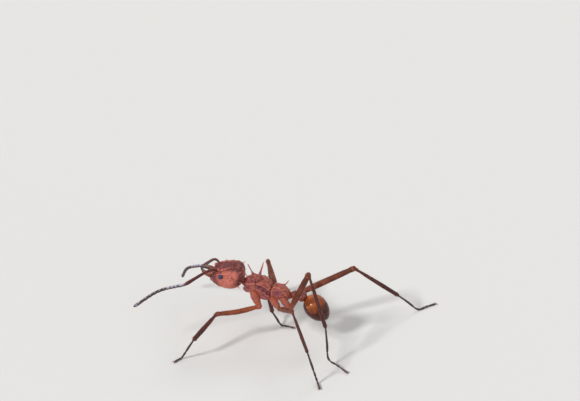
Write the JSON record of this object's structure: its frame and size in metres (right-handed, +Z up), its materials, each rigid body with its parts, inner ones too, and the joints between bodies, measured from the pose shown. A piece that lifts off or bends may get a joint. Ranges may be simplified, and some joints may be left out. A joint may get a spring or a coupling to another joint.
{
  "type": "leafcutter ant",
  "caption": "Spiny reddish-brown leafcutter ant worker in mid stride, a still life-size model with elbowed feelers, a spiny trunk, a knotted waist and a rounded gaster.",
  "frame": {"origin": "bottom centre of the bounding box, on the ground that the feet stand on", "axes": "+Z up, -X the way the ant faces, -Y the ant's left side; it is longest along X and lowest along Z"},
  "size_m": [0.0154, 0.0106, 0.0055],
  "materials": {
    "body_shell": "matt terracotta shell with fine tubercles and short hairs",
    "shin_shell": "satin maroon-brown shell with short hairs",
    "dark_horn": "satin near-black horn",
    "gaster_shell": "polished orange-brown to dark red-brown shell",
    "eye": "glossy blue-black faceted lens"
  },
  "bodies": {
    "root": {"head": "body_shell", "eye_left": "eye", "eye_right": "eye", "mandible_left": "dark_horn", "mandible_right": "dark_horn", "scape_left": "shin_shell", "scape_right": "shin_shell", "flagellum_left": "dark_horn", "flagellum_right": "dark_horn", "pronotum": "body_shell", "mesothorax": "body_shell", "propodeum": "body_shell", "petiole": "body_shell", "postpetiole": "body_shell", "gaster": "gaster_shell", "coxa_front_left": "body_shell", "femur_front_left": "body_shell", "tibia_front_left": "shin_shell", "tarsus_front_left": "dark_horn", "coxa_front_right": "body_shell", "femur_front_right": "body_shell", "tibia_front_right": "shin_shell", "tarsus_front_right": "dark_horn", "coxa_middle_left": "body_shell", "femur_middle_left": "body_shell", "tibia_middle_left": "shin_shell", "tarsus_middle_left": "dark_horn", "coxa_middle_right": "body_shell", "femur_middle_right": "body_shell", "tibia_middle_right": "shin_shell", "tarsus_middle_right": "dark_horn", "coxa_hind_left": "body_shell", "femur_hind_left": "body_shell", "tibia_hind_left": "shin_shell", "tarsus_hind_left": "dark_horn", "coxa_hind_right": "body_shell", "femur_hind_right": "body_shell", "tibia_hind_right": "shin_shell", "tarsus_hind_right": "dark_horn"}
  },
  "joints": []
}
